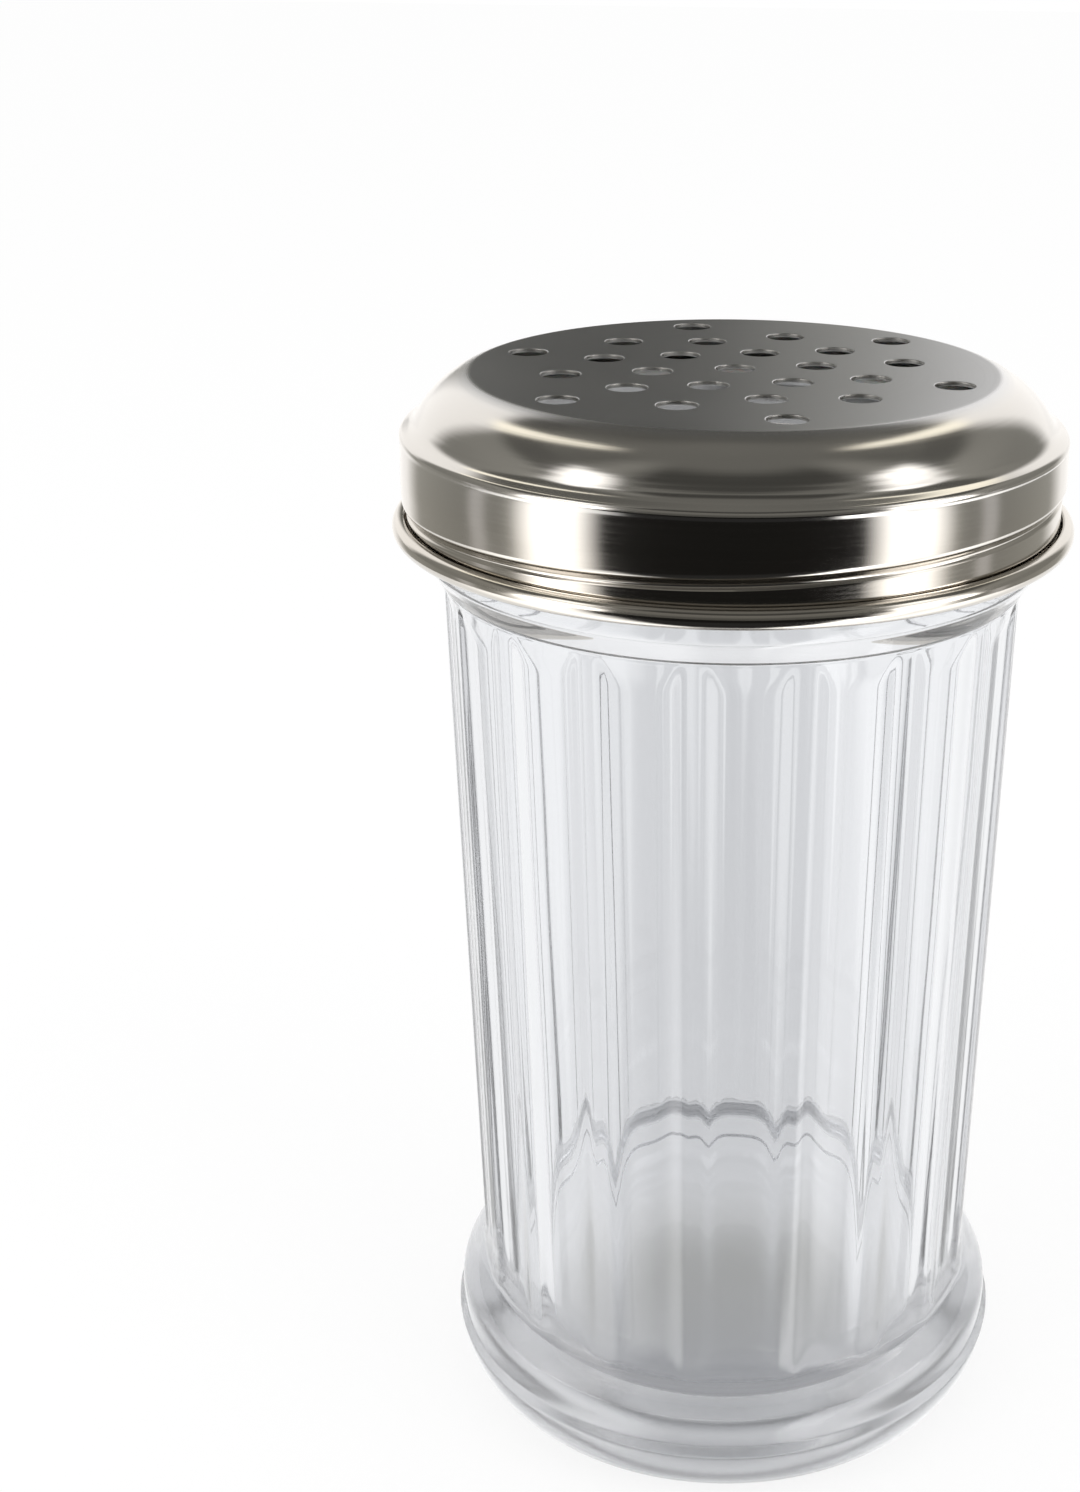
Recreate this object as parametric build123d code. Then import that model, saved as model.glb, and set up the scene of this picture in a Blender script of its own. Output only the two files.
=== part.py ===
from build123d import *
import os
from math import atan2, cos, degrees, radians, sin, tan

# Table shaker for grated cheese: a fluted glass jar, a perforated steel screw cap
# and the soft seat ring between them. Millimetres, +Z up, origin under the foot.

# Jar: the foot that it stands on
foot_land_radius = 28.7  # outer edge of the flat ring that touches the table
punt_radius = 24.2  # edge of the shallow hollow inside that ring
punt_depth = 1.4
foot_radius = 36.4  # widest point of the foot
foot_radius_height = 9.8
foot_shoulder_radius = 10.0  # rounding above the widest point
foot_shoulder_turn = 46.0  # degrees from upright where the rounding ends
foot_cove_radius = 3.5  # hollow curve that runs the foot into the flutes
foot_cove_turn = 16.0  # degrees from upright where the hollow curve ends

# Jar: the fluted body
flute_count = 18
flute_phase = -6.6  # degrees from the front to the nearest ridge
flute_depth = 0.62  # ridge down to the middle of a flute
ridge_width = 2.8
ridge_radius_low = 32.5  # at the foot
ridge_radius_high = 33.62  # at the neck
neck_height = 110.8  # crease where the flutes end
core_depth = 2.4  # how far foot and neck run in behind the ridges

# Jar: neck, rim and inside
neck_lean = 13.5  # degrees from upright of the plain band that ends the flutes
flare_height = 2.3  # crease up to the plain wall of the mouth
crease_rounding = 0.75
flare_rounding = 1.5
finish_radius = 35.8  # wall that carries the screw turns
finish_height = 13.3
rim_rounding = 1.1
rim_wall = 4.6
neck_wall = 2.2  # glass behind a flute at the neck
wall = 2.9  # glass behind a flute at the foot
floor_height = 9.0
floor_rounding = 6.0

# Cap: pressed and rolled sheet
sheet = 0.5
thread_room = 1.6  # radial room for the rolled screw turns
shoulder_width = 6.4
shoulder_height = 5.3
shoulder_lean = 17.0  # degrees below level where the shoulder leaves the disc
flange_step = 1.8  # flange that runs out from the shoulder to the band
flange_drop = 0.85
flange_rounding = 0.9
band_height = 7.1
skirt_step = 0.65  # step in below the band
skirt_step_height = 1.2
skirt_height = 2.3
curl_radius = 1.15  # outside radius of the rolled edge
curl_end = 105.0  # degrees, where the roll stops short of the skirt

# Cap: sprinkling holes, six to a ring around one in the middle
hole_radius = 2.1
holes_per_ring = 6
hole_phase = 12.3
hole_ring_1 = 9.4
hole_ring_2 = 15.7
hole_ring_3 = 19.7
hole_ring_4 = 25.1

# Seat ring under the cap's flange
seat_thickness = 1.2
seat_reach = 1.3  # from the mouth's outer wall out to the ring's edge
seat_overhang = 0.5  # ring's bore beyond the mouth's bore
seat_clearance = 0.25  # ring to the steel above it

# Heights and radii that follow
rim_height = neck_height + flare_height + finish_height
mouth_radius = finish_radius - rim_wall
band_radius = finish_radius + thread_room + sheet
shoulder_radius = band_radius - flange_step
disc_radius = shoulder_radius - shoulder_width
skirt_radius = band_radius - skirt_step
seat_outer_radius = finish_radius + seat_reach
seat_inner_radius = mouth_radius + seat_overhang


def foot_side():
    """Foot above its widest point: a rounding, then a hollow curve into the flutes."""
    shoulder = JernArc((foot_radius, foot_radius_height), (0, 1), foot_shoulder_radius, foot_shoulder_turn)
    cove = JernArc(shoulder @ 1, shoulder % 1, foot_cove_radius, foot_cove_turn - foot_shoulder_turn)
    return shoulder, cove


foot_height = (foot_side()[1] @ 1).Y


def ridge_radius(height):
    """Ridge radius at a height on the tapered body."""
    share = (height - foot_height) / (neck_height - foot_height)
    return ridge_radius_low + (ridge_radius_high - ridge_radius_low) * share


def turned(*lines):
    """Solid of revolution about Z from a closed chain drawn as radius and height."""
    return revolve(make_face(Plane.XZ * (Curve() + list(lines))), Axis.Z)


def foot():
    """Round foot: bellied side, hollow curve, and a core that ends inside the flutes."""
    shoulder, cove = foot_side()
    end = cove @ 1
    core_r = ridge_radius_low - core_depth
    core_z = end.Y + (end.X - core_r) / tan(radians(foot_cove_turn))
    belly = EllipticalCenterArc(
        (foot_land_radius, foot_radius_height),
        foot_radius - foot_land_radius,
        foot_radius_height,
        start_angle=-90,
        arc_size=90,
    )
    return turned(
        Line((0, 0), (foot_land_radius, 0)),
        belly,
        shoulder,
        cove,
        Line(end, (core_r, core_z)),
        Line((core_r, core_z), (0, core_z)),
        Line((0, core_z), (0, 0)),
    )


def flute_section(height):
    """Cross-section of the body: narrow round ridges with a hollow flute between each pair."""
    outer = ridge_radius(height)
    step = 360 / flute_count
    half_ridge = degrees(ridge_width / 2 / outer)

    def at(radius, angle):
        turn = radians(angle + flute_phase - 90)
        return (radius * cos(turn), radius * sin(turn))

    edges = []
    for k in range(flute_count):
        a = k * step
        edges.append(ThreePointArc(at(outer, a - half_ridge), at(outer, a), at(outer, a + half_ridge)))
        edges.append(
            ThreePointArc(
                at(outer, a + half_ridge),
                at(outer - flute_depth, a + step / 2),
                at(outer, a + step - half_ridge),
            )
        )
    return Plane.XY.offset(height) * make_face(Curve() + edges)


def fluted_body():
    """Tapered body, run into the foot below and the neck above."""
    return loft([flute_section(foot_radius_height), flute_section(neck_height)], ruled=True)


def neck():
    """Plain band above the flutes, flare and the wall of the mouth."""
    core_r = ridge_radius_high - core_depth
    core_z = neck_height - core_depth / tan(radians(neck_lean))
    wall_line = FilletPolyline(
        (core_r, core_z),
        (ridge_radius_high, neck_height),
        (finish_radius, neck_height + flare_height),
        (finish_radius, rim_height),
        radius=[crease_rounding, flare_rounding],
    )
    return turned(
        Line((0, core_z), (core_r, core_z)),
        wall_line,
        Line((finish_radius, rim_height), (0, rim_height)),
        Line((0, rim_height), (0, core_z)),
    )


def jar_inside():
    """Tapered hollow with a rounded floor, running on through neck and mouth."""
    low_r = ridge_radius_low - flute_depth - wall
    neck_r = ridge_radius_high - flute_depth - neck_wall
    hollow = turned(
        Line((0, floor_height), (low_r, floor_height)),
        Polyline((low_r, floor_height), (neck_r, neck_height), (mouth_radius, rim_height)),
        Line((mouth_radius, rim_height), (0, rim_height)),
        Line((0, rim_height), (0, floor_height)),
    )
    return fillet(hollow.edges().group_by(Axis.Z)[0], floor_rounding)


def punt():
    """Shallow dome hollowed out under the foot."""
    dome_radius = (punt_radius**2 + punt_depth**2) / (2 * punt_depth)
    dome = Pos(0, 0, punt_depth - dome_radius) * Sphere(dome_radius)
    return dome & Cylinder(punt_radius, punt_depth, align=(Align.CENTER, Align.CENTER, Align.MIN))


def glass_jar():
    """Fluted jar with its foot, mouth and inside."""
    jar = foot() + fluted_body() + neck() - jar_inside() - punt()
    rim = jar.faces().sort_by(Axis.Z)[-1]
    return fillet(rim.edges(), rim_rounding)


flange_slope = degrees(atan2(flange_drop, flange_step))
flange_rise = (seat_outer_radius - shoulder_radius) * flange_drop / flange_step
flange_depth = sheet / cos(radians(flange_slope))
shoulder_foot = rim_height + seat_thickness + seat_clearance + flange_rise + flange_depth


def mitred(radius, height, slope_in, slope_out, inset):
    """Corner of the sheet moved square to both of its sides; slopes in degrees below level."""
    middle = radians(slope_in + slope_out) / 2
    half = radians(slope_in - slope_out) / 2
    return (radius - inset * sin(middle) / cos(half), height - inset * cos(middle) / cos(half))


def cap_skin(inset):
    """One face of the pressed sheet, from the middle of the disc to the start of the roll."""
    lean = radians(shoulder_lean)
    shoulder_slope = 2 * degrees(atan2(shoulder_height, shoulder_width)) - shoulder_lean
    skirt_slope = 90 + degrees(atan2(skirt_step, skirt_step_height))
    band_top = shoulder_foot - flange_drop
    band_foot = band_top - band_height
    skirt_top = band_foot - skirt_step_height
    crease = mitred(disc_radius, shoulder_foot + shoulder_height, 0, shoulder_lean, inset)
    neck_corner = mitred(shoulder_radius, shoulder_foot, shoulder_slope, flange_slope, inset)
    lip = mitred(band_radius, band_top, flange_slope, 90, inset)
    band_corner = mitred(band_radius, band_foot, 90, skirt_slope, inset)
    skirt_corner = mitred(skirt_radius, skirt_top, skirt_slope, 90, inset)
    return [
        Line((0, crease[1]), crease),
        TangentArc(crease, neck_corner, tangent=(cos(lean), -sin(lean))),
        FilletPolyline(neck_corner, lip, band_corner, radius=flange_rounding - inset),
        Polyline(band_corner, skirt_corner, (skirt_radius - inset, skirt_top - skirt_height)),
    ]


def cap_blank():
    """Cap before piercing: disc, shoulder, band, skirt and rolled edge."""
    outside = cap_skin(0)
    inside = cap_skin(sheet)
    roll_z = (inside[-1] @ 1).Y
    roll = (skirt_radius - sheet + curl_radius, roll_z)
    sweep = 180 + curl_end
    roll_out = CenterArc(roll, curl_radius, 180, sweep)
    roll_in = CenterArc(roll, curl_radius - sheet, 180, sweep)
    return turned(
        *outside,
        roll_in,
        Line(roll_in @ 1, roll_out @ 1),
        roll_out,
        *inside,
        Line(inside[0] @ 0, outside[0] @ 0),
    )


def sprinkling_holes():
    """Round holes on staggered rings, and one in the middle."""
    top = shoulder_foot + shoulder_height
    punch = 4 * sheet
    spots = [Pos(0, 0, top)]
    stagger = 180 / holes_per_ring
    for k, ring in enumerate((hole_ring_1, hole_ring_2, hole_ring_3, hole_ring_4)):
        turn = hole_phase + stagger * (k % 2)
        spots += [Pos(0, 0, top) * spot for spot in PolarLocations(ring, holes_per_ring, turn)]
    return [spot * Cylinder(hole_radius, punch) for spot in spots]


def perforated_cap():
    """Screw cap with its sprinkling holes."""
    return cap_blank() - sprinkling_holes()


def seat_ring():
    """Flat soft ring on the rim, under the cap's flange."""
    bottom = (Align.CENTER, Align.CENTER, Align.MIN)
    ring = Cylinder(seat_outer_radius, seat_thickness, align=bottom)
    ring -= Cylinder(seat_inner_radius, seat_thickness, align=bottom)
    return Pos(0, 0, rim_height) * ring


os.makedirs("parts", exist_ok=True)
for name, piece in (
    ("glass_jar", glass_jar()),
    ("perforated_cap", perforated_cap()),
    ("seat_ring", seat_ring()),
):
    export_step(piece, f"parts/{name}.step")
    print(name, "volume", round(piece.volume / 1000, 2), "ml", "box", piece.bounding_box())
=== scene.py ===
import bmesh
import bpy
from math import atan2, cos, degrees, hypot, pi, radians, sin, sqrt, tan
from mathutils import Matrix, Vector


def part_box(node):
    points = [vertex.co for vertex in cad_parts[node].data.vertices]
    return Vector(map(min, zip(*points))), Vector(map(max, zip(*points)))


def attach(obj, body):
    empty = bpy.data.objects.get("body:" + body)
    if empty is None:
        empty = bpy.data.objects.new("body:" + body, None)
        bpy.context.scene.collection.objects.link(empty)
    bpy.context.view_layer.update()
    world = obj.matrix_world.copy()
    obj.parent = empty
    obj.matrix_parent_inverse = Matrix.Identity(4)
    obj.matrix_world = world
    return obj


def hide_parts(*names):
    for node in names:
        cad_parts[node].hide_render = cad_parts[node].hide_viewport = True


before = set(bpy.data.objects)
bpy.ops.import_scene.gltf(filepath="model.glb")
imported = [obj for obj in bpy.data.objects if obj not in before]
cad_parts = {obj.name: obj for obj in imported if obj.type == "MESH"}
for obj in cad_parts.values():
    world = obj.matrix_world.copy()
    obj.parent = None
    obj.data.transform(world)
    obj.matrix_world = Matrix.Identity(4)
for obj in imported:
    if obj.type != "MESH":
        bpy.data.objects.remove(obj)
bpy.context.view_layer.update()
mm = 0.001
slack = 0.001  # mm, within which heights and radii count as equal

# packed boxes, in millimetres: the pieces below keep to them
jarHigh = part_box("glass_jar")[1] / mm
capLow, capHigh = (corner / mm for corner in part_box("perforated_cap"))
seatLow, seatHigh = (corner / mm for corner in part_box("seat_ring"))
print("frame loaded: jar", jarHigh.z, "mm, cap top", capHigh.z, "mm")


# soft joins and outlines, in millimetres

def smoothMin(first, second, soft):
    near = max(soft - abs(first - second), 0) / soft
    return min(first, second) - near * near * soft / 4


def smoothMax(first, second, soft):
    return -smoothMin(-first, -second, soft)


def smoothStep(low, high, value):
    share = min(max((value - low) / (high - low), 0), 1)
    return share * share * (3 - 2 * share)


def between(start, end, count):
    # even values from start to end, both included
    return [start + (end - start) * k / count for k in range(count + 1)]


def arcPoints(centre, radii, start, end, count):
    # (radius, height) points along an elliptic arc, angles in degrees
    turns = [radians(a) for a in between(start, end, count)]
    return [(centre[0] + radii[0] * cos(a), centre[1] + radii[1] * sin(a)) for a in turns]


def roundCorner(before, corner, after, radius, count):
    # arc that rounds a corner of an outline, and how far it reaches along both sides
    corner = Vector(corner)
    inward = (Vector(before) - corner).normalized()
    outward = (Vector(after) - corner).normalized()
    half = inward.angle(outward) / 2
    reach = radius / tan(half)
    middle = corner + (inward + outward).normalized() * (radius / sin(half))
    first, last = corner + inward * reach - middle, corner + outward * reach - middle
    spokes = [first.slerp(last, share).normalized() * radius for share in between(0, 1, count)]
    return [tuple(middle + spoke) for spoke in spokes], reach


def weld(mesh, gap):
    bmesh.ops.remove_doubles(mesh, verts=mesh.verts, dist=gap * mm)


def spinOutline(mesh, points, segments, sectors, closed=False):
    # turn an outline of (radius, height) points about the upright axis: one sector, then its copies
    verts = [mesh.verts.new((r * mm, 0, z * mm)) for r, z in points]
    pairs = list(zip(verts, verts[1:]))
    if closed:
        pairs.append((verts[-1], verts[0]))
    edges = [mesh.edges.new(pair) for pair in pairs]
    sector = 2 * pi / sectors
    bmesh.ops.spin(mesh, geom=verts + edges, cent=(0, 0, 0), axis=(0, 0, 1), angle=sector,
                   steps=segments // sectors)
    bmesh.ops.spin(mesh, geom=mesh.verts[:] + mesh.edges[:] + mesh.faces[:], cent=(0, 0, 0), axis=(0, 0, 1),
                   angle=2 * pi - sector, steps=sectors - 1, use_duplicate=True)
    weld(mesh, 4 * slack)


def setRadius(vert, radius):
    # move a point along its own spoke, radius in millimetres
    scale = radius * mm / hypot(vert.co.x, vert.co.y)
    vert.co.x *= scale
    vert.co.y *= scale


def finishPiece(name, mesh, body, looks, sharpAngle):
    # bmesh to object: smooth shading with sharp edges, then body, slot and finish
    bmesh.ops.recalc_face_normals(mesh, faces=mesh.faces)
    data = bpy.data.meshes.new(name)
    mesh.to_mesh(data)
    mesh.free()
    data.shade_smooth()
    data.set_sharp_from_angle(angle=radians(sharpAngle))
    for look in looks:
        data.materials.append(look)
    piece = bpy.data.objects.new(name, data)
    bpy.context.scene.collection.objects.link(piece)
    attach(piece, body)
    return piece


# shader tools

class Wire:
    # a node's output socket; sums on it add Math nodes
    def __init__(self, look, socket):
        self.look = look
        self.socket = socket

    def calc(self, operation, other=0.0):
        return self.look.node("ShaderNodeMath", {"operation": operation}, {0: self, 1: other})

    def __add__(self, other):
        return self.calc("ADD", other)

    def __sub__(self, other):
        return self.calc("SUBTRACT", other)

    def __mul__(self, other):
        return self.calc("MULTIPLY", other)

    def __truediv__(self, other):
        return self.calc("DIVIDE", other)

    def __pow__(self, other):
        return self.calc("POWER", other)


class Look:
    # a node tree that starts empty
    def __init__(self, owner):
        owner.use_nodes = True
        self.owner = owner
        self.tree = owner.node_tree
        self.tree.nodes.clear()

    def node(self, kind, settings=None, inputs=None, out=0):
        made = self.tree.nodes.new(kind)
        for key, value in (settings or {}).items():
            if key == "stops":
                self.setStops(made.color_ramp, value)
            else:
                setattr(made, key, value)
        for key, value in (inputs or {}).items():
            if isinstance(value, Wire):
                self.tree.links.new(value.socket, made.inputs[key])
            else:
                made.inputs[key].default_value = value
        return Wire(self, made.outputs[out]) if made.outputs else None

    def setStops(self, ramp, stops):
        while len(ramp.elements) < len(stops):
            ramp.elements.new(0.5)
        for element, (place, shade) in zip(ramp.elements, stops):
            element.position = place
            element.color = (*shade, 1) if isinstance(shade, tuple) else (shade, shade, shade, 1)

    def place(self):
        # object coordinates in metres, whole and split into x, y and z
        coords = self.node("ShaderNodeTexCoord", out="Object")
        split = [self.node("ShaderNodeSeparateXYZ", inputs={0: coords}, out=k) for k in range(3)]
        return coords, split

    def noise(self, coords, scale, detail, stretch=(1, 1, 1)):
        spread = self.node("ShaderNodeMapping", inputs={"Vector": coords, "Scale": stretch})
        return self.node("ShaderNodeTexNoise", inputs={"Vector": spread, "Scale": scale, "Detail": detail})

    def ramp(self, value, stops):
        return self.node("ShaderNodeValToRGB", {"stops": stops}, {0: value})

    def span(self, value, low, high):
        # 0 at low, 1 at high, eased between
        return self.node("ShaderNodeMapRange", {"interpolation_type": "SMOOTHSTEP"},
                         {0: value, 1: low, 2: high, 3: 0.0, 4: 1.0})

    def mix(self, share, first, second):
        return self.node("ShaderNodeMix", inputs={0: share, 2: first, 3: second})

    def blend(self, share, first, second):
        # colours, each an (r, g, b) or a wire
        first, second = ((*c, 1) if isinstance(c, tuple) else c for c in (first, second))
        return self.node("ShaderNodeMix", {"data_type": "RGBA"}, {0: share, 6: first, 7: second}, out=2)

    def bump(self, height, strength, distance):
        return self.node("ShaderNodeBump", inputs={"Height": height, "Strength": strength, "Distance": distance})

    def glow(self, colour, strength):
        return self.node("ShaderNodeEmission", inputs={"Color": colour, "Strength": strength})

    def either(self, share, first, second):
        # two shaders
        return self.node("ShaderNodeMixShader", inputs={0: share, 1: first, 2: second})

    def ray(self, kind):
        return self.node("ShaderNodeLightPath", out=f"Is {kind} Ray")

    def surface(self, shader, volume=None):
        inputs = {"Surface": shader, "Volume": volume} if volume else {"Surface": shader}
        self.node("ShaderNodeOutputMaterial", inputs=inputs)


def newLook(name):
    return Look(bpy.data.materials.new(name))


def distance(x, y):
    return (x * x + y * y) ** 0.5


def inMetres(heights):
    return [height * mm for height in heights]


# clear moulded glass: greyer in the thick places, a slight wave left by the mould, a hazier foot

glassFinish = {
    "tint": (0.93, 0.935, 0.945, 1),
    "depthColour": (0.85, 0.853, 0.86, 1),
    "depthDensity": 38.0,
    "ior": 1.52,
    "roughness": 0.012,
    "smear": 0.02,              # how far the roughness varies
    "smearScale": 180.0,
    "footHaze": 0.10,           # roughness that the foot's thick glass adds
    "hazeReach": (23.0, 15.0),  # mm, heights between which it sets in
    "waveScale": 55.0,
    "waveStretch": (1, 1, 0.45),
    "waveStrength": 0.5,
    "waveHeight": 0.00035,
}


def glassLook():
    look = newLook("moulded clear glass")
    coords, (_, _, z) = look.place()
    wave = look.noise(coords, glassFinish["waveScale"], 1.0, glassFinish["waveStretch"])
    smear = look.noise(coords, glassFinish["smearScale"], 2.0) - 0.5
    haze = look.span(z, *inMetres(glassFinish["hazeReach"])) * glassFinish["footHaze"]
    shader = look.node("ShaderNodeBsdfPrincipled", inputs={
        "Base Color": glassFinish["tint"],
        "Transmission Weight": 1.0,
        "IOR": glassFinish["ior"],
        "Roughness": smear * glassFinish["smear"] + haze + glassFinish["roughness"],
        "Normal": look.bump(wave, glassFinish["waveStrength"], glassFinish["waveHeight"]),
    })
    depth = look.node("ShaderNodeVolumeAbsorption", inputs={
        "Color": glassFinish["depthColour"],
        "Density": glassFinish["depthDensity"],
    })
    look.surface(shader, depth)
    return look.owner


# stainless sheet: satin disc, polished shoulder and band with fine turned lines, dull inside with painted shade
# under the disc

steelFinish = {
    "satin": (0.575, 0.583, 0.598),
    "polished": (0.60, 0.582, 0.555),
    "warm": (0.57, 0.53, 0.47),
    "warmReach": (131.0, 118.0),    # mm, heights between which the sheet turns warmer
    "warmShare": 0.6,
    "warmDrift": 0.3,
    "driftScale": 60.0,
    "satinRoughness": 0.30,
    "polishRoughness": 0.13,
    "lineRoughness": 0.10,          # how far lines and drift change the roughness
    "driftRoughness": 0.06,
    "satinEdge": 29.0,              # mm, where the satin disc gives way to the polished shoulder
    "polishEdge": 32.0,
    "lineScale": 2600.0,
    "lineStrength": 0.35,
    "lineHeight": 0.000012,
    # painted shade: the inside under the disc and shoulder is coloured darker than the inside of the band
    "inside": (0.33, 0.325, 0.31),
    "insideBand": (0.74, 0.73, 0.71),
    "insideShadeReach": (128.6, 126.6),  # mm, heights between which the painted shade inside gives way to the lighter band
    "dullRoughness": 0.46,
    "dullCloud": 0.12,
    "cloudScale": 90.0,
}


def steelLook():
    look = newLook("stainless sheet")
    coords, (x, y, z) = look.place()
    radius = distance(x, y)
    polish = look.span(radius, *inMetres((steelFinish["satinEdge"], steelFinish["polishEdge"])))
    # turned lines run round the cap: they change with radius and height alone
    ring = look.node("ShaderNodeCombineXYZ", inputs={0: radius, 1: z, 2: 0.0})
    lines = look.noise(ring, steelFinish["lineScale"], 4.0)
    drift = look.noise(coords, steelFinish["driftScale"], 3.0) - 0.5
    roughness = look.mix(polish, steelFinish["satinRoughness"], steelFinish["polishRoughness"])
    roughness += (lines - 0.5) * steelFinish["lineRoughness"] + drift * steelFinish["driftRoughness"]
    warmth = look.span(z, *inMetres(steelFinish["warmReach"])) * steelFinish["warmShare"]
    warmth += drift * steelFinish["warmDrift"]
    colour = look.blend(polish, steelFinish["satin"], steelFinish["polished"])
    look.surface(look.node("ShaderNodeBsdfPrincipled", inputs={
        "Base Color": look.blend(warmth, colour, steelFinish["warm"]),
        "Metallic": 1.0,
        "Roughness": roughness,
        "Normal": look.bump(lines, steelFinish["lineStrength"], steelFinish["lineHeight"]),
    }))
    return look.owner


def shadedInsideLook():
    look = newLook("dull inside of the sheet with painted shade")
    coords, (_, _, z) = look.place()
    cloud = look.noise(coords, steelFinish["cloudScale"], 4.0) - 0.5
    # painted shade: darker colour up under the disc and shoulder, lighter down the band
    band = look.span(z, *inMetres(steelFinish["insideShadeReach"]))
    look.surface(look.node("ShaderNodeBsdfPrincipled", inputs={
        "Base Color": look.blend(band, steelFinish["inside"], steelFinish["insideBand"]),
        "Metallic": 1.0,
        "Roughness": cloud * steelFinish["dullCloud"] + steelFinish["dullRoughness"],
    }))
    return look.owner


# soft white seat ring

seatFinish = {
    "colour": (0.80, 0.80, 0.77),
    "shade": (0.70, 0.69, 0.65),
    "roughness": 0.48,
    "cloud": 0.12,              # how far the roughness varies
    "cloudScale": 160.0,
    "glowThrough": 0.15,
    "glowDepth": 0.001,
    "grainScale": 2400.0,
    "grainStrength": 0.3,
    "grainHeight": 0.00003,
}


def seatLook():
    look = newLook("soft white seat")
    coords, _ = look.place()
    cloud = look.noise(coords, seatFinish["cloudScale"], 4.0)
    grain = look.noise(coords, seatFinish["grainScale"], 2.0)
    look.surface(look.node("ShaderNodeBsdfPrincipled", inputs={
        "Base Color": look.blend(cloud, seatFinish["colour"], seatFinish["shade"]),
        "Roughness": (cloud - 0.5) * seatFinish["cloud"] + seatFinish["roughness"],
        "Subsurface Weight": seatFinish["glowThrough"],
        "Subsurface Scale": seatFinish["glowDepth"],
        "Normal": look.bump(grain, seatFinish["grainStrength"], seatFinish["grainHeight"]),
    }))
    return look.owner


# glass jar: foot, flutes, neck and screw finish from one turned outline

jar = {
    "segments": 432,            # 24 to a flute
    "sharpAngle": 60,
    "landRadius": 28.7,
    "puntRadius": 24.2,
    "puntDepth": 1.4,
    "footRadius": jarHigh.x,
    "footHeight": 9.8,          # of the widest point
    "crownRadius": 10.0,        # rounding above it
    "crownTurn": 46.0,
    "coveRadius": 3.5,          # hollow curve into the flutes
    "coveTurn": 16.0,
    "footSoft": 0.5,
    "flutes": 18,
    "ridgeAngle": -96.6,        # degrees about +Z, of one ridge
    "fluteDepth": 0.62,
    "fluteShape": 4.0,          # above 2: flatter panels with steeper edges
    "ridgeWidth": 2.8,
    "ridgeSoft": 0.26,
    "ridgeLow": 32.5,
    "ridgeHigh": 33.62,
    "fluteFoot": 18.55,
    "neckHeight": 110.8,
    "neckLean": 13.5,
    "archSoft": 0.2,
    "seamHeight": 111.05,       # fine mould line round the neck
    "seamHalf": 0.35,
    "seamDepth": 0.12,
    "creaseSoft": 0.12,
    "flareHeight": 3.4,
    "flareSoft": 0.45,
    "finishRadius": 35.8,
    "rimRound": 1.1,
    "mouthRadius": 31.2,
    "neckBore": 30.8,
    "floorBore": 29.08,         # where the floor's rounding begins
    "floorHeight": 9.0,
    "floorRound": 6.0,
    # rows up the outside: each height and the count of rows up to it, then those up to the rim
    "rows": ((25, 36), (104, 12), (109.8, 16), (111.8, 20), (114.5, 12)),
    "rimRows": 30,
}
screw = {
    "lead": 6.35,               # mm a turn
    "start": -255.0,            # degrees about +Z where the cap's groove begins, low at the back left
    "low": 117.6,
    "glassLift": 2.0,           # glass turn above the cap's groove
    "glassHeight": 0.7,
    "glassHalf": 1.5,
    "glassFrom": -100.0,        # degrees along the screw where the glass turn begins
    "glassTo": 285.0,
    "fade": 25.0,               # degrees over which a turn begins and ends
}


def alongScrew(turn):
    # degrees along the screw from its start, within one turn
    return (degrees(turn) - screw["start"]) % 360


def footSide(height):
    turn, crown, cove = radians(jar["crownTurn"]), jar["crownRadius"], jar["coveRadius"]
    middle = jar["footRadius"] - crown
    rise = height - jar["footHeight"]
    if rise < crown * sin(turn):
        return middle + sqrt(crown * crown - rise * rise)
    coveMiddle = middle + (crown + cove) * cos(turn)
    coveRise = (crown + cove) * sin(turn)
    lean = radians(jar["coveTurn"])
    if rise < coveRise - cove * sin(lean):
        return coveMiddle - sqrt(cove * cove - (rise - coveRise) ** 2)
    return coveMiddle - cove * cos(lean) - (rise - coveRise + cove * sin(lean)) * tan(lean)


def fluteSide(turn, height):
    share = (height - jar["fluteFoot"]) / (jar["neckHeight"] - jar["fluteFoot"])
    ridge = jar["ridgeLow"] + (jar["ridgeHigh"] - jar["ridgeLow"]) * share
    half = 180 / jar["flutes"]
    away = abs((degrees(turn) - jar["ridgeAngle"] + half) % (2 * half) - half)
    edge = degrees(jar["ridgeWidth"] / 2 / ridge)
    hollow = 1 - max((half - away) / (half - edge), 0) ** jar["fluteShape"]
    return smoothMin(ridge, ridge - jar["fluteDepth"] * hollow, jar["ridgeSoft"])


def neckSide(height):
    rise = height - jar["neckHeight"]
    lean = jar["ridgeHigh"] + rise * tan(radians(jar["neckLean"]))
    flare = jar["ridgeHigh"] + rise * (jar["finishRadius"] - jar["ridgeHigh"]) / jar["flareHeight"]
    return smoothMax(lean, flare, jar["creaseSoft"])


def glassScrew(turn, height):
    # rounded ridge that winds about once round the finish
    raised = 0
    for along in (alongScrew(turn), alongScrew(turn) - 360):
        middle = screw["low"] + screw["glassLift"] + screw["lead"] * along / 360
        away = abs(height - middle) / screw["glassHalf"]
        ends = (smoothStep(screw["glassFrom"], screw["glassFrom"] + screw["fade"], along)
                * smoothStep(screw["glassTo"], screw["glassTo"] - screw["fade"], along))
        if away < 1:
            raised = max(raised, ends * (1 + cos(pi * away)) / 2)
    return raised * screw["glassHeight"]


def jarSide(turn, height):
    body = smoothMax(fluteSide(turn, height), footSide(height), jar["footSoft"])
    body = smoothMax(body, neckSide(height), jar["archSoft"])
    seam = max(1 - ((height - jar["seamHeight"]) / jar["seamHalf"]) ** 2, 0)
    body -= jar["seamDepth"] * seam * seam
    return smoothMin(body, jar["finishRadius"], jar["flareSoft"]) + glassScrew(turn, height)


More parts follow.
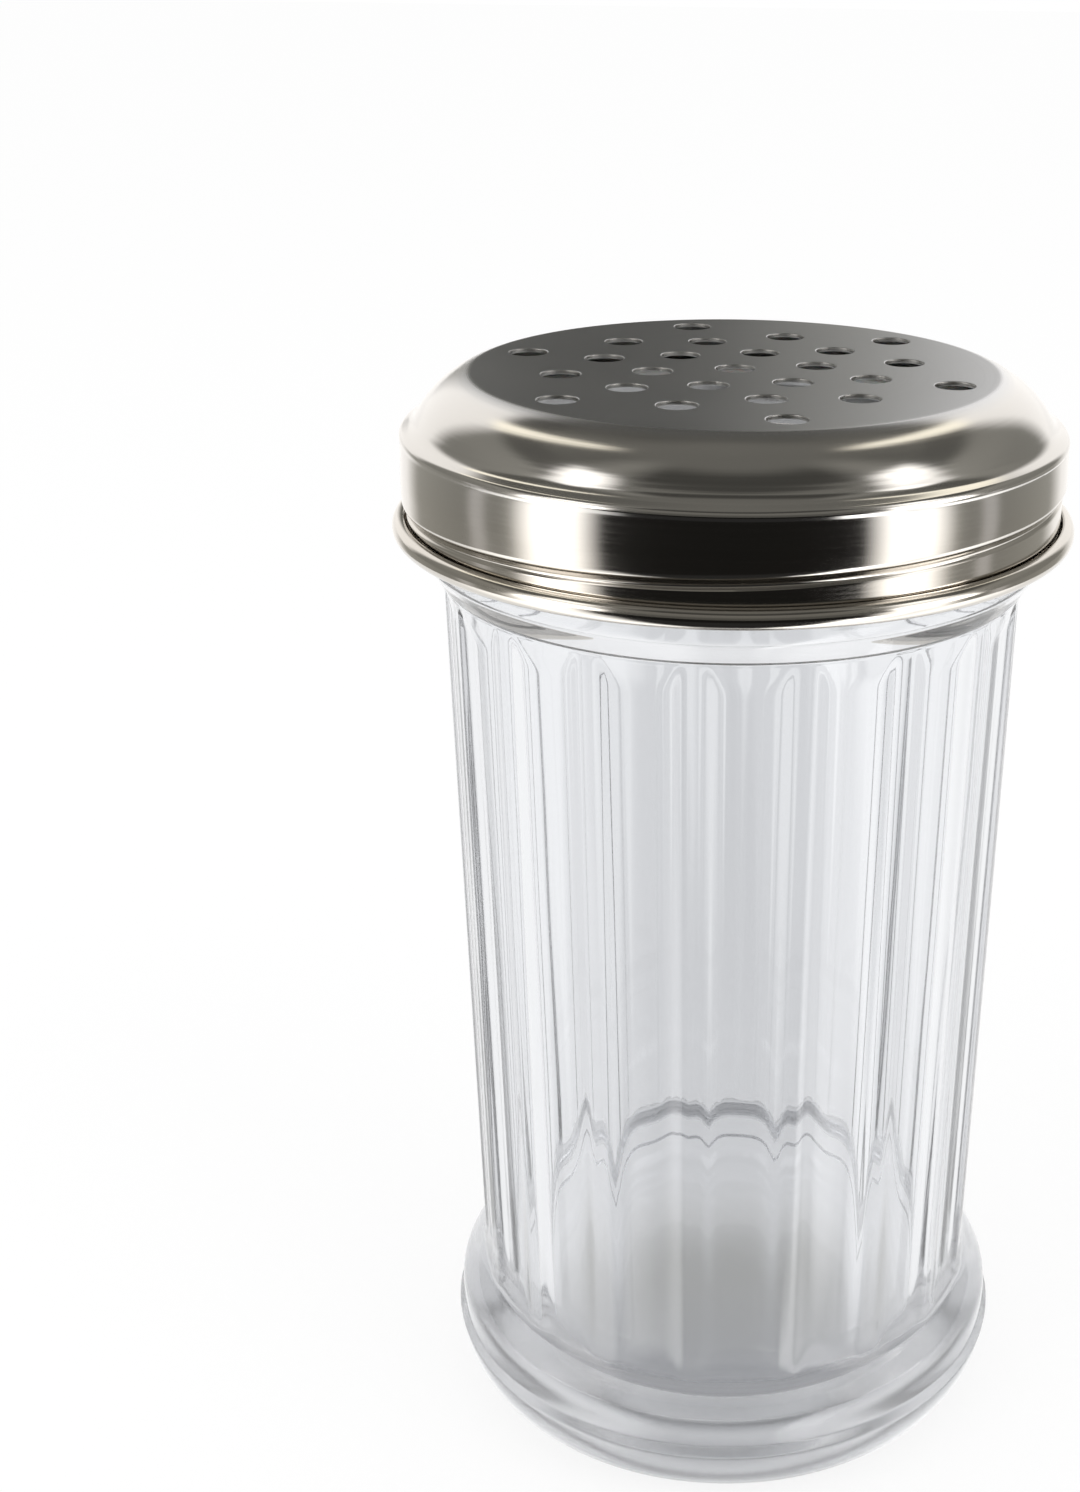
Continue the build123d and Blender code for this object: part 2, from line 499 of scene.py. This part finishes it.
def jarOutline():
    # from the middle of the underside, up the outside, over the rim and down to the inner floor
    rimRound, floorRound = jar["rimRound"], jar["floorRound"]
    rimStart = jarHigh.z - rimRound
    dome = (jar["puntRadius"] ** 2 + jar["puntDepth"] ** 2) / (2 * jar["puntDepth"])
    under = [(r, jar["puntDepth"] - dome + sqrt(dome * dome - r * r)) for r in between(0, jar["puntRadius"], 8)]
    belly = arcPoints((jar["landRadius"], jar["footHeight"]),
                      (jar["footRadius"] - jar["landRadius"], jar["footHeight"]), -90, 0, 22)
    outside, start = [], jar["footHeight"]
    for end, count in (*jar["rows"], (rimStart, jar["rimRows"])):
        outside += [(jar["footRadius"], z) for z in between(start, end, count)[1:]]
        start = end
    outerRim = arcPoints((jar["finishRadius"] - rimRound, rimStart), (rimRound, rimRound), 0, 90, 6)[1:]
    innerRim = arcPoints((jar["mouthRadius"] + rimRound, rimStart), (rimRound, rimRound), 90, 180, 6)
    bore = [(jar["neckBore"], jar["neckHeight"])]
    flatRadius = jar["floorBore"] - floorRound
    floorCurve = arcPoints((flatRadius, jar["floorHeight"] + floorRound), (floorRound, floorRound), 0, -90, 14)
    floorFlat = [(r, jar["floorHeight"]) for r in between(flatRadius, 0, 8)[1:]]
    return under + belly + outside + outerRim + innerRim + bore + floorCurve + floorFlat


def makeJar():
    mesh = bmesh.new()
    spinOutline(mesh, jarOutline(), jar["segments"], jar["flutes"])
    low, high = jar["footHeight"] * mm, (jarHigh.z - jar["rimRound"] + slack) * mm
    for vert in mesh.verts:
        outside = hypot(vert.co.x, vert.co.y) > (jar["mouthRadius"] + jar["rimRound"]) * mm
        if outside and low < vert.co.z < high:
            setRadius(vert, jarSide(atan2(vert.co.y, vert.co.x), vert.co.z / mm))
    piece = finishPiece("glassJar", mesh, "jar", [glassLook()], jar["sharpAngle"])
    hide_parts("glass_jar")
    print("glass jar:", len(piece.data.polygons), "faces")


# perforated cap: a pierced disc and a turned sheet, with a rolled screw and a curled edge

cap = {
    "segments": 288,
    "sectors": 16,
    "sharpAngle": 20,
    "sheet": 0.5,
    "discRadius": 29.7,
    "creaseRound": 2.0,         # where the disc turns down
    "shoulderLean": 17.0,       # degrees below level just outside the crease
    "shoulderHeight": 5.3,
    "shoulderRadius": 36.1,
    "neckRound": 2.4,
    "flangeDrop": 0.85,
    "lipRadius": 37.72,         # band at its top, where the flange turns down
    "lipRound": 0.9,
    "bandRadius": 37.9,
    "bandWide": 122.5,          # height where the band is widest
    "bandRows": 66,
    "skirtRadius": 37.25,
    "skirtReach": 1.5,          # mm over which the band draws in to the roll
    "curlRadius": 1.15,         # outside of the roll
    "curlEnd": 105.0,
    "curlTop": 2.875,           # mm above the cap's foot, where the roll ends
    "grooveDepth": 0.78,
    "grooveAbove": 1.35,        # mm over which the band rounds into the groove
    "grooveBelow": 0.75,
    "grooveSoft": 0.2,
    "skirtInset": 0.5,
    "insetReach": (350, 245),   # degrees along the screw over which the inset below the groove sets in
    # rows of the band that gather along the groove, as shares of the band's height
    "gatherReach": (0.1, 0.65),
    "gatherFrom": 0.35,
    "gatherPower": 1.5,
    "gatherReturn": 330,        # degrees along the screw from which they run back down
}
holes = {
    "radius": 2.2,
    "count": 6,
    "phase": 12.3,
    "rings": (9.4, 15.7, 19.7, 25.1),
    "segments": 40,
    "burr": 0.13,
    "burrAngle": 60,            # degrees, edges sharper than this are rounded
}
shoulderFoot = capHigh.z - cap["shoulderHeight"]
rollHeight = capLow.z + cap["curlRadius"]
neckCorner = (cap["shoulderRadius"], shoulderFoot)
lipCorner = (cap["lipRadius"], shoulderFoot - cap["flangeDrop"])
lipArc, _ = roundCorner(neckCorner, lipCorner, (lipCorner[0], lipCorner[1] - 1), cap["lipRound"], 10)
bandTop = lipArc[-1][1]


def bandSide(height):
    share = smoothStep(lipCorner[1], cap["bandWide"], height)
    return cap["lipRadius"] + (cap["bandRadius"] - cap["lipRadius"]) * share


def sheetOutline():
    # outside of the sheet: crease, round shoulder, flange, band and curl
    top, crease = capHigh.z, (cap["discRadius"], capHigh.z)
    lean, width = radians(cap["shoulderLean"]), cap["shoulderRadius"] - cap["discRadius"]
    chord = atan2(cap["shoulderHeight"], width)
    steep = 2 * chord - lean
    bow = hypot(cap["shoulderHeight"], width) / (2 * sin(chord - lean))
    middle = (cap["discRadius"] - bow * sin(lean), top - bow * cos(lean))
    edge, edgeReach = roundCorner((0, top), crease, (crease[0] + cos(lean), top - sin(lean)),
                                  cap["creaseRound"], 6)
    hollow, hollowReach = roundCorner((neckCorner[0] - cos(steep), shoulderFoot + sin(steep)), neckCorner,
                                      lipCorner, cap["neckRound"], 8)
    tilts = between(lean + edgeReach / bow, steep - hollowReach / bow, 26)[1:-1]
    shoulder = [(middle[0] + bow * sin(tilt), middle[1] + bow * cos(tilt)) for tilt in tilts]
    band = [(bandSide(z), z) for z in between(bandTop, rollHeight, cap["bandRows"])[1:]]
    rollRadius = cap["skirtRadius"] - cap["sheet"] + cap["curlRadius"]
    inside = cap["curlRadius"] - cap["sheet"]
    roll = arcPoints((rollRadius, rollHeight), (inside, inside), 180, 360 + cap["curlEnd"], 22)[1:]
    return edge + shoulder + hollow + lipArc + band + roll


def bandRow(turn, height):
    # rows gather along the rolled groove
    span, along = bandTop - rollHeight, alongScrew(turn)
    groove = screw["low"] + screw["lead"] * along / 360 * smoothStep(360, cap["gatherReturn"], along)
    least, most = cap["gatherReach"]
    share = min(max((groove - rollHeight) / span, least), most)
    place, pivot, power = (height - rollHeight) / span, cap["gatherFrom"], cap["gatherPower"]
    if place < pivot:
        return rollHeight + span * share * (1 - (1 - place / pivot) ** power)
    return rollHeight + span * (share + (1 - share) * ((place - pivot) / (1 - pivot)) ** power)


def rolledScrew(turn, height):
    # how far the sheet is rolled in at a place on the band
    along = alongScrew(turn)
    away = height - screw["low"] - screw["lead"] * along / 360
    side = cap["grooveAbove"] if away > 0 else cap["grooveBelow"]
    ends = smoothStep(0, screw["fade"], along) * smoothStep(360, 360 - screw["fade"], along)
    groove = cap["grooveDepth"] * ends * (1 - smoothStep(0, 1, abs(away) / side))
    below = smoothStep(cap["grooveAbove"], 0, away) * smoothStep(*cap["insetReach"], along)
    drawn = smoothStep(rollHeight + cap["skirtReach"], rollHeight, height)
    rolled = smoothMax(groove, cap["skirtInset"] * below, cap["grooveSoft"])
    return smoothMax(rolled, (bandSide(height) - cap["skirtRadius"]) * drawn, cap["grooveSoft"])


def pierceDisc(mesh):
    # fill the disc around its holes
    top = capHigh.z * mm
    edges = [edge for edge in mesh.edges
             if edge.is_boundary and all(abs(vert.co.z - top) < slack * mm for vert in edge.verts)]
    spots = [(0, 0)]
    for k, ring in enumerate(holes["rings"]):
        for n in range(holes["count"]):
            # every other ring is staggered by half a step
            turn = radians(holes["phase"] + (n + 0.5 * (k % 2)) * 360 / holes["count"])
            spots.append((ring * cos(turn) * mm, ring * sin(turn) * mm))
    for x, y in spots:
        made = bmesh.ops.create_circle(mesh, cap_ends=False, segments=holes["segments"],
                                       radius=holes["radius"] * mm, matrix=Matrix.Translation((x, y, top)))
        edges += list({edge for vert in made["verts"] for edge in vert.link_edges})
    bmesh.ops.triangle_fill(mesh, use_beauty=True, use_dissolve=False, edges=edges, normal=(0, 0, 1))


def makeCap():
    mesh = bmesh.new()
    spinOutline(mesh, sheetOutline(), cap["segments"], cap["sectors"])
    for vert in mesh.verts:
        height, turn = vert.co.z / mm, atan2(vert.co.y, vert.co.x)
        radius = hypot(vert.co.x, vert.co.y) / mm
        inBand = rollHeight - slack < height < bandTop + slack
        if inBand and abs(radius - bandSide(height)) < slack:
            height = bandRow(turn, height)
            vert.co.z = height * mm
            setRadius(vert, bandSide(height) - rolledScrew(turn, height))
    pierceDisc(mesh)
    weld(mesh, 2 * slack)
    bmesh.ops.recalc_face_normals(mesh, faces=mesh.faces)
    outside = set(mesh.faces)
    bmesh.ops.solidify(mesh, geom=mesh.faces[:], thickness=cap["sheet"] * mm)
    for face in mesh.faces:
        # the roll turns the inside of the sheet out
        above = face.calc_center_median().z / mm > capLow.z + cap["curlTop"]
        face.material_index = 1 if above and face not in outside else 0
    lips = [edge for edge in mesh.edges
            if len(edge.link_faces) == 2 and edge.calc_face_angle() > radians(holes["burrAngle"])]
    bmesh.ops.bevel(mesh, geom=lips, offset=holes["burr"] * mm, segments=2, profile=0.5,
                    affect="EDGES", material=-1)
    piece = finishPiece("perforatedCap", mesh, "cap", [steelLook(), shadedInsideLook()], cap["sharpAngle"])
    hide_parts("perforated_cap")
    print("perforated cap:", len(piece.data.polygons), "faces")


# seat ring: a soft flat ring with rounded edges

seat = {"segments": 144, "sectors": 12, "sharpAngle": 50, "innerRadius": 31.7, "edge": 0.3}


def makeSeat():
    edge = seat["edge"]
    inner, outer = seat["innerRadius"] + edge, seatHigh.x - edge
    bottom, top = seatLow.z + edge, seatHigh.z - edge
    points = []
    for r, z, start in ((inner, bottom, 180), (outer, bottom, 270), (outer, top, 360), (inner, top, 450)):
        points += arcPoints((r, z), (edge, edge), start, start + 90, 4)
    mesh = bmesh.new()
    spinOutline(mesh, points, seat["segments"], seat["sectors"], True)
    piece = finishPiece("seatRing", mesh, "seat", [seatLook()], seat["sharpAngle"])
    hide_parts("seat_ring")
    print("seat ring:", len(piece.data.polygons), "faces")


# studio: pale floor, white surround, and reflectors that only the metal and the glass mirror

studio = {
    "floorSize": 4.0,
    "floorGap": 0.00005,        # below the foot, so that glass and floor are told apart
    "floorPaper": (0.95, 0.95, 0.95, 1),
    "floorWhite": 0.85,         # share of the floor that is plain white to the camera
    # floor seen through the glass: shaded under the jar and ahead of it, grey behind it, white at both sides
    "aheadShade": (0.40, 0.405, 0.42),
    "aheadAside": (0.90, 0.905, 0.915),
    "aheadReach": (-0.025, 0.015),
    "underShade": (0.41, 0.41, 0.395),
    "underReach": (0.008, 0.033),
    "behindShade": (0.785, 0.79, 0.80),
    "asideShade": (0.95, 0.955, 0.96),
    "asideReach": (0.022, 0.055),
    "farReach": (0.3, 1.5),     # the floor turns white towards the horizon
    # floor mirrored in metal and glass: shade against the turn from the camera's side, in degrees
    "fanAt": -0.033,            # metres, the front of the glass, where these shades fan out from
    "fanNear": (0.012, 0.03),
    "nearShade": 0.8,           # close under the foot
    "fan": ((-180, 1.0), (-110, 1.2), (-80, 2.2), (-58, 2.0), (-46, 1.0), (-38, 0.03), (36, 0.03), (44, 3.5),
            (58, 3.0), (66, 1.5), (88, 2.2), (120, 1.2), (180, 1.0)),
    "fill": 0.95,               # world light on the object
    "keyPower": 1.6,
    "keySize": 0.5,
    "keySpots": ((-0.55, -0.5, 0.75), (0.6, -0.45, 0.7)),
    "keyAim": (0, 0, 0.06),
    "brightest": 5.0,           # shade that a ramp's white stands for
    "warmBelow": 0.6,           # shades under this are warmer: their green and blue against red
    "warmTint": (0.98, 0.9),
    "paleTint": (0.98, 0.96),
    "segments": 96,             # of ring and dome
    "sectors": 12,
    "eyeHeight": 0.131,         # metres, of the cap that mirrors all this
    "ringRadius": 0.26,
    "ringSpan": (0.03, 0.135),  # metres, from the ring's foot to its top
    # low ring: shade against the turn from the camera's side (0) to behind (1)
    "ring": ((0.0, 0.012), (0.222, 0.012), (0.275, 2.2), (0.355, 2.2), (0.41, 0.4), (0.43, 0.3), (0.46, 0.3),
             (0.48, 0.62), (0.50, 0.62), (0.52, 0.3), (0.70, 0.42), (0.77, 1.2)),
    "domeRadius": 2.0,
    "domeTurn": 5.5,            # degrees by which the dome's lights stand to the right
    # dome: the same shades, each from an elevation span on, in degrees
    "dome": (
        (0, 0, ((0.0, 0.12), (0.25, 0.12), (0.29, 5.0), (0.42, 5.0), (0.45, 0.28), (0.73, 0.28), (0.78, 1.3),
                (0.90, 1.3), (0.925, 0.8), (0.945, 0.36), (0.965, 0.2), (0.985, 0.13), (1.0, 0.08))),
        (18, 30, ((0.0, 0.2), (0.27, 0.2), (0.31, 1.5), (0.44, 1.5), (0.48, 0.35), (0.72, 0.3), (0.78, 1.3),
                  (0.88, 1.3), (0.94, 0.35), (0.98, 0.12))),
        (36, 42, ((0.0, 0.22), (0.30, 0.22), (0.36, 2.2), (0.44, 2.2), (0.48, 0.13), (0.72, 0.13), (0.85, 0.11))),
        (48, 53, ((0.0, 0.07), (0.26, 0.07), (0.36, 0.3), (0.40, 0.3), (0.50, 0.15), (0.72, 0.2), (0.88, 0.13))),
        (62, 76, ((0.0, 0.19), (0.5, 0.19), (1.0, 0.2))),
    ),
    # slanting strip behind each panel: its turn, how that falls with elevation, half width and both ends
    "stripAt": 0.941,
    "stripSlant": 0.39,
    "stripHalf": (0.042, 0.012),
    "stripLow": (0.38, 0.43),
    "stripHigh": (0.79, 0.68),
    "stripColour": (1, 0.95, 0.82, 1),
    "stripGlow": 1.7,
}


def seenShare(look):
    # 1 for camera, mirror and glass rays
    return look.ray("Camera").calc("MAXIMUM", look.ray("Glossy")).calc("MAXIMUM", look.ray("Transmission"))


def addStage(name, mesh, look):
    data = bpy.data.meshes.new(name)
    mesh.to_mesh(data)
    mesh.free()
    data.materials.append(look)
    thing = bpy.data.objects.new(name, data)
    bpy.context.scene.collection.objects.link(thing)
    return thing


def addReflector(name, outline, look):
    # turned surface that only mirror rays meet
    mesh = bmesh.new()
    spinOutline(mesh, outline, studio["segments"], studio["sectors"])
    thing = addStage(name, mesh, look)
    thing.visible_camera = False
    thing.visible_diffuse = False
    thing.visible_transmission = False
    thing.visible_shadow = False


def shadesOf(stops):
    # ramp stops with the darker shades a little warm
    made = []
    for place, shade in stops:
        red = shade / studio["brightest"]
        green, blue = studio["warmTint"] if shade < studio["warmBelow"] else studio["paleTint"]
        made.append((place, (red, red * green, red * blue)))
    return made


def compass(look, turn):
    # turn from the camera's side (0) to behind (1), and elevation in quarter turns, as seen from the cap
    _, (x, y, z) = look.place()
    side = (x.calc("ARCTAN2", y * -1.0) - radians(turn)).calc("ABSOLUTE") / pi
    rise = (z - studio["eyeHeight"]).calc("ARCTAN2", distance(x, y)) / (pi / 2)
    return side, rise


def floorMirrored(look, x, y):
    # what metal and glass mirror: dark ahead of the jar, bright at both sides
    ahead = y * -1.0 + studio["fanAt"]
    turn = x.calc("ARCTAN2", ahead) / (2 * pi) + 0.5
    stops = [((degree + 180) / 360, shade / studio["brightest"]) for degree, shade in studio["fan"]]
    close = (studio["nearShade"] / studio["brightest"],) * 3
    near = look.span(distance(x, ahead), *studio["fanNear"])
    return look.glow(look.blend(near, close, look.ramp(turn, stops)), studio["brightest"])


def floorThrough(look, x, y):
    # what shows through the glass
    away = distance(x, y)
    back = look.span(y, *studio["aheadReach"])
    middle = look.blend(look.span(away, *studio["underReach"]), studio["underShade"], studio["behindShade"])
    middle = look.blend(back, studio["aheadShade"], middle)
    sides = look.blend(back, studio["aheadAside"], studio["asideShade"])
    shade = look.blend(look.span(x.calc("ABSOLUTE"), *studio["asideReach"]), middle, sides)
    shade = look.blend(look.span(away, *studio["farReach"]), shade, (1.0, 1.0, 1.0))
    return look.glow(shade, 1.0)


def makeFloor():
    look = newLook("white paper floor")
    _, (x, y, _) = look.place()
    straight = look.ray("Camera")
    seen = look.either(look.ray("Transmission"), floorMirrored(look, x, y), floorThrough(look, x, y))
    seen = look.either(straight, seen, look.glow((1, 1, 1, 1), 1.0))
    paper = look.node("ShaderNodeBsdfDiffuse", inputs={"Color": studio["floorPaper"]})
    look.surface(look.either(seenShare(look) - straight * (1 - studio["floorWhite"]), paper, seen))
    mesh = bmesh.new()
    bmesh.ops.create_grid(mesh, x_segments=1, y_segments=1, size=studio["floorSize"],
                          matrix=Matrix.Translation((0, 0, -studio["floorGap"])))
    addStage("floor", mesh, look.owner)


def makeRing():
    # what the upright band mirrors: dark ahead, a bright panel each side, white behind
    look = newLook("reflector ring")
    side, _ = compass(look, 0)
    look.surface(look.glow(look.ramp(side, shadesOf(studio["ring"])), studio["brightest"]))
    addReflector("reflectorRing", [(studio["ringRadius"] / mm, z / mm) for z in studio["ringSpan"]], look.owner)


def makeDome():
    # what disc and shoulder mirror: softboxes, a slanting strip behind each, and grey above
    look = newLook("sky dome")
    side, rise = compass(look, studio["domeTurn"])
    colour = None
    for low, high, stops in studio["dome"]:
        ramp = look.ramp(side, shadesOf(stops))
        colour = ramp if colour is None else look.blend(look.span(rise, low / 90, high / 90), colour, ramp)
    shift = (side + rise * studio["stripSlant"] - studio["stripAt"]).calc("ABSOLUTE")
    strip = look.span(shift, *studio["stripHalf"])
    strip *= look.span(rise, *studio["stripLow"])
    strip *= look.span(rise, *studio["stripHigh"])
    cream = look.glow(studio["stripColour"], studio["stripGlow"])
    look.surface(look.either(strip, look.glow(colour, studio["brightest"]), cream))
    radius = studio["domeRadius"] / mm
    outline = arcPoints((0, studio["eyeHeight"] / mm), (radius, radius), -2, 90, 24)
    addReflector("skyDome", outline, look.owner)


def makeLight():
    scene = bpy.context.scene
    scene.world = bpy.data.worlds.new("white studio")
    look = Look(scene.world)
    strength = look.mix(seenShare(look), studio["fill"], 1.0)
    sky = look.node("ShaderNodeBackground", inputs={"Color": (1, 1, 1, 1), "Strength": strength})
    look.node("ShaderNodeOutputWorld", inputs={"Surface": sky})
    for k, spot in enumerate(studio["keySpots"]):
        data = bpy.data.lights.new(f"softbox{k}", "AREA")
        data.energy = studio["keyPower"]
        data.size = studio["keySize"]
        lamp = bpy.data.objects.new(f"softbox{k}", data)
        lamp.location = spot
        lamp.rotation_euler = (Vector(studio["keyAim"]) - Vector(spot)).to_track_quat("-Z", "Y").to_euler()
        lamp.visible_glossy = False
        scene.collection.objects.link(lamp)
    # thick glass needs long paths
    scene.cycles.max_bounces = 32
    scene.cycles.glossy_bounces = 16
    scene.cycles.transmission_bounces = 24
    print("studio: floor, reflectors and", len(studio["keySpots"]), "softboxes")


# camera: the photograph's place, pitch, small roll and off-centre frame

camera = {
    "place": (0, -0.2291, 0.1810),
    "pitch": 26.29,             # degrees downwards
    "roll": 0.75,
    "focal": 2018.0,            # pixels
    "centre": (728.4, 899.1),   # pixel that the lens axis meets
    "frame": (1080, 1492),
    "sensor": 36.0,
    "clip": (0.01, 20),
}


def makeCamera():
    data = bpy.data.cameras.new("photoCamera")
    width, height = camera["frame"]
    data.sensor_width = camera["sensor"]
    data.lens = camera["focal"] * camera["sensor"] / height
    data.shift_x = (width / 2 - camera["centre"][0]) / height
    data.shift_y = (camera["centre"][1] - height / 2) / height
    data.clip_start, data.clip_end = camera["clip"]
    thing = bpy.data.objects.new("photoCamera", data)
    tilt = Matrix.Rotation(radians(90 - camera["pitch"]), 4, "X")
    roll = Matrix.Rotation(radians(camera["roll"]), 4, "Z")
    thing.matrix_world = Matrix.Translation(camera["place"]) @ tilt @ roll
    bpy.context.scene.collection.objects.link(thing)
    bpy.context.scene.camera = thing
    print("camera:", camera["pitch"], "degrees down")


makeJar()
makeCap()
makeSeat()
makeFloor()
makeRing()
makeDome()
makeLight()
makeCamera()
bpy.context.scene.view_settings.view_transform = "Standard"
